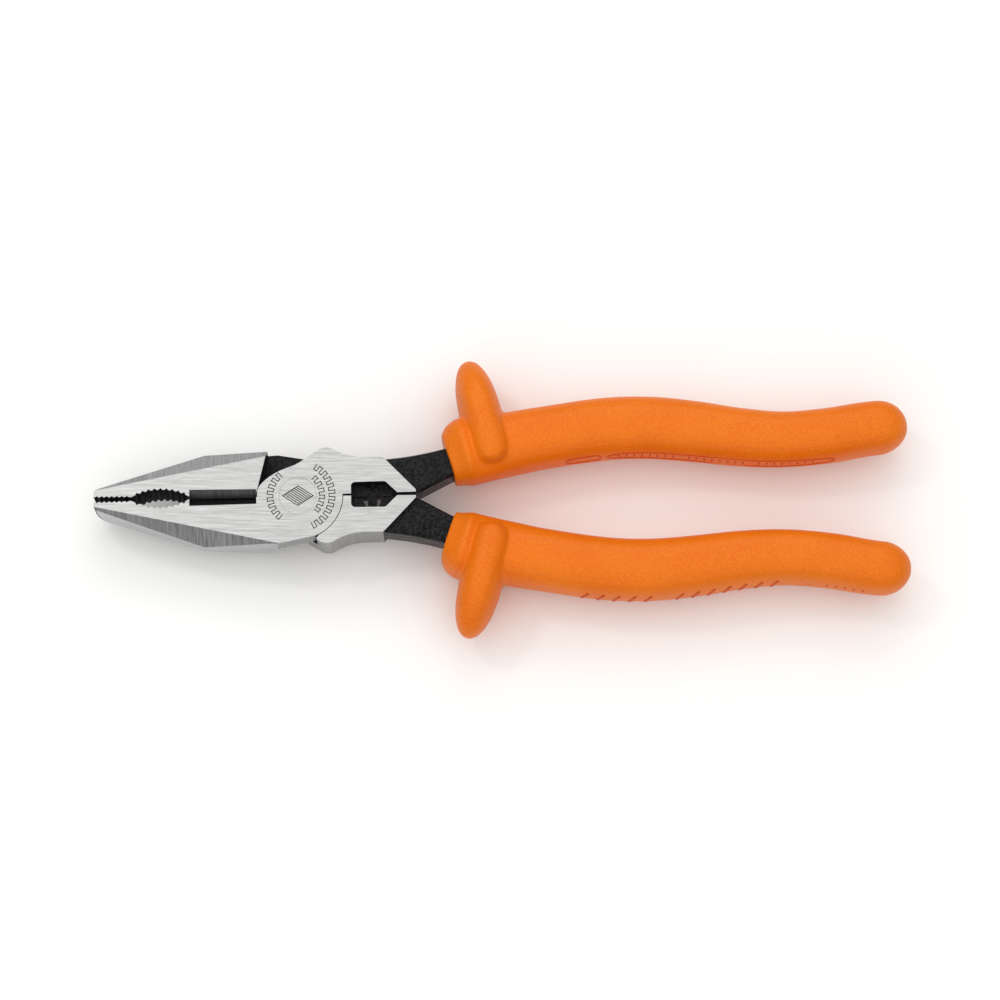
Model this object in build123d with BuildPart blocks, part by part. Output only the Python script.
from build123d import *

import os
from math import atan2, cos, degrees, hypot, radians, sin

# Insulated lineman pliers, 220 mm long, millimetres. The tool lies flat: +X runs from the
# pivot towards the handles, +Y towards the handle of the front half, and +Z away from the
# surface under the head. The origin is on the pivot axis, in the head's flat underside.

# Head
thickness = 12.7              # half-inch stock, ground on both faces
half_height = thickness / 2
lap_gap = 0.05                # between the two halves where they cross
splay = 0.65                  # each half's turn from closed to the rest pose, degrees
head_lean = 1.05              # the handles are bent a little off the head's middle line, degrees
boss_radius = 12.0            # round wall of the lap joint
wall_radius = 12.2            # the tail's hollow wall, which runs round that boss
shoulder_angle = 68.4         # where the round wall ends
rivet_radius = 5.0
rivet_clearance = 0.05        # radial, in the half that turns
rivet_sink = 0.05             # the rivet's ends are ground just below the faces

# Jaws
nose_x = -54.9
jaw_gap = 0.02                # each jaw's land below the closed line
corner_x = -25.6              # widest point, where the sides start to taper to the nose
bevel_nose_x = -55.3          # where the side bevel's line is measured at the nose
bevel_tail_x = -5.8           # and at its other end
serration_pitch = 1.35
serration_depth = 0.36
serration_count = 7
grip_centre_x = -36.95        # pipe grip
grip_half_length = 7.8
grip_sagitta = 1.95
grip_tooth_pitch = 1.6
grip_tooth_depth = 0.5
grip_tooth_count = 9

# Each jaw's own half-widths: at the nose, at the widest corner and at its end, then the side
# bevel's line on the face at the nose and at the tail. The halves are ground one by one.
front_jaw = {"nose": 2.15, "corner": 12.5, "end": 12.85, "bevel_nose": 1.2, "bevel_tail": 12.85}
back_jaw = {"nose": 2.25, "corner": 12.5, "end": 12.65, "bevel_nose": 1.8, "bevel_tail": 11.65}

# Side cutters
knife_left = -29.2
knife_right = -11.2
knife_edge_depth = 2.4        # cutting edge below the front face
knife_land = 2.9              # flat between the edge's two bevels
knife_front_half = 1.9        # half-width of the gap at the front face
knife_back_half = 3.6         # and at the back face

# Crimping die in the tails
tail_gap = 0.12               # each tail's edge off the closed line
pocket_left = 14.3
pocket_right = 26.8
pocket_half = 3.3
pocket_depth = 3.8
tooth_left = 18.5
tooth_right = 21.2
tooth_length = 1.65
web = thickness - 2 * pocket_depth   # what is left between the two pockets

# Tangs, grips
tang_half_thickness = 4.65
handle_rise = 0.5             # both handles lie this far to one side of the pivot
sleeve_wall = 0.5
grip_half_thickness = 8.3
collar_lean = 17.4            # the collar's front edge is square to this heading, degrees
guard_lean = 14.5             # the finger guard leans back towards the jaws, degrees

# Centre line of a tang inside its grip, and half of the tang's width there
tang_line = [(39.6, 9.0), (56.0, 13.9), (68.0, 16.9), (82.7, 19.2), (94.9, 19.6),
             (106.9, 18.7), (119.0, 17.3), (126.2, 16.8), (143.1, 17.8), (150.0, 18.8)]
tang_halves = [4.05, 4.1, 4.0, 3.9, 3.8, 3.7, 3.6, 3.5, 3.3, 3.2]

# Grip stations: centre, half-width in the plane of the tool, half-thickness
grip_stations = [
    ((40.3, 11.0), 7.0, 7.0),
    ((43.3, 12.7), 8.7, 8.2),
    ((48.5, 13.7), 8.9, 8.3),
    ((56.1, 15.0), 8.8, 8.3),
    ((65.6, 16.9), 8.4, 8.3),
    ((82.7, 19.4), 8.2, 8.3),
    ((94.9, 19.75), 8.15, 8.3),
    ((106.9, 18.8), 8.0, 8.3),
    ((119.0, 17.3), 7.85, 8.2),
    ((131.0, 16.7), 7.6, 8.1),
    ((143.1, 17.8), 7.5, 8.0),
    ((155.2, 19.6), 7.2, 7.7),
    ((160.4, 19.8), 6.2, 6.7),
    ((163.4, 19.75), 4.3, 4.7),
    ((164.9, 19.7), 1.6, 1.9),
]

# Finger guard stations across the handle: how far out, thickness, half-width across the tool
guard_stations = [(6.6, 8.0, 8.2), (11.5, 9.8, 11.2), (16.5, 10.2, 11.5), (22.0, 11.0, 11.5),
                  (26.0, 11.0, 11.1), (30.0, 9.8, 9.8), (33.5, 8.0, 7.8), (36.4, 5.2, 5.0),
                  (38.2, 1.8, 1.8)]
guard_top = (46.4, 34.0)      # a point of the guard's middle line


def polar(radius, angle):
    return (radius * cos(radians(angle)), radius * sin(radians(angle)))


def jaw_outline(jaw, inner_edge):
    """The lower jaw's edge points from the parting line round the nose to the last corner."""
    return [inner_edge, (nose_x, -jaw_gap), (nose_x, 0.8 - jaw["nose"]),
            (nose_x + 0.6, -jaw["nose"]), (corner_x, -jaw["corner"]), (-8.4, -jaw["end"])]


def tail_outer_edge():
    """The tail's outer edge from the boss to the ground face's end, as edges to close."""
    Spline((-10.95, 0.9), (-9.65, 3.75), (-6.35, 6.25), (-3.0, 7.75), (1.2, 9.6),
           tangents=[(0, 1), (0.84, 0.54)])
    Line((1.2, 9.6), (5.2, 12.15))
    tail_shoulder_edge()


def tail_shoulder_edge():
    """From the shoulder's foot along the tail and down the ground face's slanting end."""
    ThreePointArc((5.2, 12.15), (7.6, 13.1), (10.2, 12.3))
    ThreePointArc((10.2, 12.3), (13.8, 10.75), (18.0, 10.15))
    Polyline((18.0, 10.15), (22.9, 10.1), (23.5, 9.55), (31.7, 0.75), (31.7, tail_gap))


def front_layer(jaw):
    """Jaw, boss and tail as they lie in the layer that the boss fills."""
    shoulder = polar(boss_radius, -shoulder_angle)
    with BuildSketch(Plane.XY.offset(lap_gap / 2)) as layer:
        with BuildLine():
            Polyline((-10.95, 0.9), *jaw_outline(jaw, (-10.95, -jaw_gap)),
                     (-5.8, -jaw["end"] - 0.2), shoulder)
            CenterArc((0, 0), boss_radius, -shoulder_angle, shoulder_angle)
            Polyline((boss_radius, 0), (boss_radius, tail_gap), (31.7, tail_gap))
            tail_outer_edge()
        make_face()
    return layer.sketch


def back_layer_jaw(jaw):
    """The jaw in the other half's layer, which ends at a wall beside that half's boss."""
    with BuildSketch(Plane.XY.offset(-half_height)) as layer:
        with BuildLine():
            Polyline(*jaw_outline(jaw, (-11.4, -jaw_gap)), (-11.4, -jaw_gap))
        make_face()
    return layer.sketch


def back_layer_tail():
    """The tail in the other half's layer, with the hollow wall round that half's boss."""
    with BuildSketch(Plane.XY.offset(-half_height)) as layer:
        with BuildLine():
            Line((wall_radius, tail_gap), (31.7, tail_gap))
            tail_shoulder_edge()
            Polyline((5.2, 12.15), polar(wall_radius + 0.55, 67), polar(wall_radius, 62))
            ThreePointArc(polar(wall_radius, 62), polar(wall_radius, 30), (wall_radius, tail_gap))
        make_face()
    return layer.sketch


def side_bevel(jaw, face):
    """What the 45 degree bevel along the jaw's outer edge takes off one face (+1 or -1)."""
    start = Vector(bevel_nose_x, -jaw["bevel_nose"], face * half_height)
    end = Vector(bevel_tail_x, -jaw["bevel_tail"], face * half_height)
    along = (end - start).normalized()
    with BuildSketch(Plane(origin=start - along, x_dir=(0, 0, 1), z_dir=along)) as wedge:
        with BuildLine():
            Polyline((face * 3, -3), (-face * 9, 9), (face * 3, 9), close=True)
        make_face()
    return wedge.sketch


def nose_relief(jaw, back):
    """A facet's outline, off the nose's outer corner, on the tool's back face."""
    top = Vector(nose_x, -jaw["nose"], -back * (half_height - 1.0))
    side = Vector(-51.5, -4.3, back * (8.0 - half_height))
    inner = Vector(nose_x, -0.9, back * half_height)
    normal = (side - top).cross(inner - top)
    if normal.X > 0:
        normal = -normal
    with BuildSketch(Plane(origin=(top + side + inner) * (1 / 3), z_dir=normal)) as facet:
        Rectangle(40, 40)
    return facet.sketch


def knife_gap(front):
    """The cutter's gap: a short bevel on the tool's front face and a long one behind it."""
    edge_z = front * (half_height - knife_edge_depth)
    front_slope = (knife_front_half - jaw_gap) / knife_edge_depth
    back_slope = (knife_back_half - jaw_gap) / (thickness - knife_edge_depth - knife_land)
    over = 1.0
    with BuildSketch(Plane.YZ.offset(knife_left)) as gap:
        with BuildLine():
            Polyline((-jaw_gap, edge_z - front * knife_land),
                     (-jaw_gap, edge_z),
                     (-knife_front_half - over * front_slope, front * (half_height + over)),
                     (over, front * (half_height + over)),
                     (over, -front * (half_height + over)),
                     (-knife_back_half - over * back_slope, -front * (half_height + over)),
                     close=True)
        make_face()
    return gap.sketch


def pipe_grip():
    """The toothed hollow for round work: an arc with a row of vee teeth."""
    radius = (grip_half_length ** 2 + grip_sagitta ** 2) / (2 * grip_sagitta)
    centre_y = radius - grip_sagitta
    step = degrees(grip_tooth_pitch / radius)
    with BuildSketch(Plane.XY.offset(-half_height)) as hollow_round:
        with Locations((grip_centre_x, centre_y)):
            Circle(radius)
            for i in range(grip_tooth_count):
                turn = -90 + step * (i - (grip_tooth_count - 1) / 2)
                with Locations(Location((0, 0, 0), (0, 0, turn))):
                    Polygon((radius - 0.3, -0.95), (radius + grip_tooth_depth, 0),
                            (radius - 0.3, 0.95), align=None)
    return hollow_round.sketch


def serrations():
    """Vee grooves across the flat nose."""
    with BuildSketch(Plane.XY.offset(-half_height)) as grooves:
        with Locations(*[(nose_x + 0.85 + i * serration_pitch, 0) for i in range(serration_count)]):
            Polygon((-0.66, 0.1), (0, -serration_depth - jaw_gap), (0.66, 0.1), align=None)
    return grooves.sketch


def pocket(start):
    """The crimping pocket's outline; it is sunk into both faces and leaves a web in the middle."""
    with BuildSketch(Plane.XY.offset(start)) as sunk:
        with BuildLine():
            FilletPolyline((pocket_left, -0.5), (pocket_left, pocket_half),
                           (pocket_right - pocket_half, pocket_half), (pocket_right + 0.5, -0.5),
                           radius=1.1)
            Line((pocket_right + 0.5, -0.5), (pocket_left, -0.5))
        make_face()
    return sunk.sketch


def die_tooth():
    """The tooth on the upper die."""
    with BuildSketch(Plane.XY.offset(pocket_depth - half_height)) as tooth:
        with BuildLine():
            Polyline((tooth_left - 0.35, 0.4), (tooth_left, 0), (tooth_left + 0.15, -tooth_length),
                     (tooth_right - 0.15, -tooth_length), (tooth_right, 0),
                     (tooth_right + 0.35, 0.4), close=True)
        make_face()
    return tooth.sketch


def die_nest():
    """The nest that the tooth drives into, with sloping sides."""
    with BuildSketch(Plane.XY.offset(pocket_depth - half_height)) as nest:
        with BuildLine():
            Polyline((tooth_left - 1.3, -0.1), (tooth_left - 0.3, 2.3), (tooth_right + 0.3, 2.3),
                     (tooth_right + 1.3, -0.1), close=True)
        make_face()
    return nest.sketch


def forge_head(jaw, front, bore, has_tooth):
    """One half's head, closed, lower jaw and upper tail, its boss in the +Z layer."""
    with BuildPart() as head:
        add(front_layer(jaw))
        extrude(amount=half_height - lap_gap / 2)
        add(back_layer_jaw(jaw))
        extrude(amount=half_height + lap_gap / 2)
        add(back_layer_tail())
        extrude(amount=half_height + lap_gap / 2)
        for face in (1, -1):
            extrude(side_bevel(jaw, face), amount=52, mode=Mode.SUBTRACT)
        for start in (-half_height, half_height - pocket_depth):
            extrude(pocket(start), amount=pocket_depth, mode=Mode.SUBTRACT)
        extrude(nose_relief(jaw, -front), amount=6, mode=Mode.SUBTRACT)
        extrude(pipe_grip(), amount=thickness, mode=Mode.SUBTRACT)
        extrude(serrations(), amount=thickness, mode=Mode.SUBTRACT)
        extrude(knife_gap(front), amount=knife_right - knife_left, mode=Mode.SUBTRACT)
        if has_tooth:
            extrude(die_tooth(), amount=web)
        else:
            extrude(die_nest(), amount=web, mode=Mode.SUBTRACT)
        with BuildSketch(Plane.XY.offset(-half_height)):
            Circle(bore)
        extrude(amount=thickness, mode=Mode.SUBTRACT)
    return head.part


def ribbon(line, halves):
    """Points along both edges of a strip whose middle line and half-widths are given."""
    left = []
    right = []
    for i, (x, y) in enumerate(line):
        before = line[max(i - 1, 0)]
        after = line[min(i + 1, len(line) - 1)]
        length = hypot(after[0] - before[0], after[1] - before[1])
        normal = (-(after[1] - before[1]) / length, (after[0] - before[0]) / length)
        left.append((x + normal[0] * halves[i], y + normal[1] * halves[i]))
        right.append((x - normal[0] * halves[i], y - normal[1] * halves[i]))
    return left, right


def tang():
    """The handle's steel core from the ground face to its end inside the grip, at rest."""
    outer, inner = ribbon(tang_line, tang_halves)
    with BuildPart() as core:
        with BuildSketch(Plane.XY.offset(-tang_half_thickness)):
            with BuildLine():
                Spline((22.6, 10.15), outer[0], *outer[1:], tangents=[(1, 0.08), (1, 0.16)])
                Line(outer[-1], inner[-1])
                Spline(*reversed(inner), tangents=[(-1, -0.16), (-0.89, -0.46)])
                Polyline(inner[0], (33.2, 1.1), (31.4, 0.6), (22.6, 8.6), (22.6, 10.15))
            make_face()
        extrude(amount=2 * tang_half_thickness)
        fillet(core.edges().filter_by(Axis.Z, reverse=True).group_by(Axis.Z)[-1]
               .filter_by(lambda edge: edge.length > 20), 1.2)
        fillet(core.edges().filter_by(Axis.Z, reverse=True).group_by(Axis.Z)[0]
               .filter_by(lambda edge: edge.length > 20), 1.2)
    return core.part


def sleeve_body(wall):
    """The space that the inner sleeve fills, tang and all."""
    line = [(44.5, 10.6)] + tang_line[1:] + [(152.0, 19.1)]
    halves = [4.1] + tang_halves[1:] + [3.2]
    outer, inner = ribbon(line, [half + wall for half in halves])
    with BuildPart() as body:
        with BuildSketch(Plane.XY.offset(-tang_half_thickness - wall)):
            with BuildLine():
                Spline(*outer)
                Line(outer[-1], inner[-1])
                Spline(*reversed(inner))
                Line(inner[0], outer[0])
            make_face()
        extrude(amount=2 * (tang_half_thickness + wall))
    return body.part


def grip_section(centre, heading, half_width, half_thick):
    """A rounded square across the handle."""
    across = (sin(radians(heading)), -cos(radians(heading)), 0)
    along = (cos(radians(heading)), sin(radians(heading)), 0)
    with BuildSketch(Plane(origin=(centre[0], centre[1], 0), x_dir=across, z_dir=along)) as section:
        RectangleRounded(2 * half_width, 2 * half_thick, 0.62 * min(half_width, half_thick))
    return section.sketch


def guard_section(out, wide, half_thick):
    """A rounded slice of the finger guard, square to its middle line."""
    lean = radians(guard_lean)
    distance = (out - guard_top[1]) / cos(lean)
    origin = (guard_top[0] - distance * sin(lean), out, 0)
    plane = Plane(origin=origin, x_dir=(cos(lean), sin(lean), 0), z_dir=(-sin(lean), cos(lean), 0))
    with BuildSketch(plane) as section:
        RectangleRounded(wide, 2 * half_thick, 0.48 * wide)
    return section.sketch


def grip_body():
    """The moulded grip's outer shape, with its collar and finger guard."""
    with BuildPart() as body:
        for i, (centre, half_width, half_thick) in enumerate(grip_stations):
            before = grip_stations[max(i - 1, 0)][0]
            after = grip_stations[min(i + 1, len(grip_stations) - 1)][0]
            heading = degrees(atan2(after[1] - before[1], after[0] - before[0]))
            if i == 0:
                heading = collar_lean
            add(grip_section(centre, heading, half_width, half_thick))
        loft()
        for station in guard_stations:
            add(guard_section(*station))
        loft()
    return body.part


steel_a = forge_head(front_jaw, front=1, bore=rivet_radius + rivet_clearance, has_tooth=True)
steel_b = forge_head(back_jaw, front=-1, bore=rivet_radius, has_tooth=False)
core = tang()
hollow = sleeve_body(sleeve_wall)
skin = grip_body()

# Each half is placed with the middle plane at half the head's thickness. The back half is
# the front half's shape turned over about X, apart from its jaw's widths, knife, nose and die.
lift = Location((0, 0, half_height))
lift_handle = Location((0, handle_rise, half_height))
turn_over = Location((0, 0, 0), (180, 0, 0))

with BuildPart() as front_half:
    add(lift * (Location((0, 0, 0), (0, 0, head_lean + splay)) * steel_a))
    add(lift_handle * core)

with BuildPart() as back_half:
    add(lift * (Location((0, 0, 0), (0, 0, head_lean - splay)) * (turn_over * steel_b)))
    add(lift_handle * (turn_over * core))

with BuildPart() as pivot_rivet:
    with BuildSketch(Plane.XY.offset(rivet_sink)):
        Circle(rivet_radius)
    extrude(amount=thickness - 2 * rivet_sink)

with BuildPart() as inner_sleeve_upper:
    add(lift_handle * hollow)
    add(front_half.part, mode=Mode.SUBTRACT)

with BuildPart() as inner_sleeve_lower:
    add(lift_handle * (turn_over * hollow))
    add(back_half.part, mode=Mode.SUBTRACT)

with BuildPart() as outer_grip_upper:
    add(lift_handle * skin)
    add(lift_handle * hollow, mode=Mode.SUBTRACT)
    add(front_half.part, mode=Mode.SUBTRACT)

with BuildPart() as outer_grip_lower:
    add(lift_handle * (turn_over * skin))
    add(lift_handle * (turn_over * hollow), mode=Mode.SUBTRACT)
    add(back_half.part, mode=Mode.SUBTRACT)

nodes = {
    "front_half": front_half,
    "back_half": back_half,
    "pivot_rivet": pivot_rivet,
    "inner_sleeve_upper": inner_sleeve_upper,
    "inner_sleeve_lower": inner_sleeve_lower,
    "outer_grip_upper": outer_grip_upper,
    "outer_grip_lower": outer_grip_lower,
}
os.makedirs("parts", exist_ok=True)
for name, node in nodes.items():
    node.part.label = name
    export_step(node.part, f"parts/{name}.step")
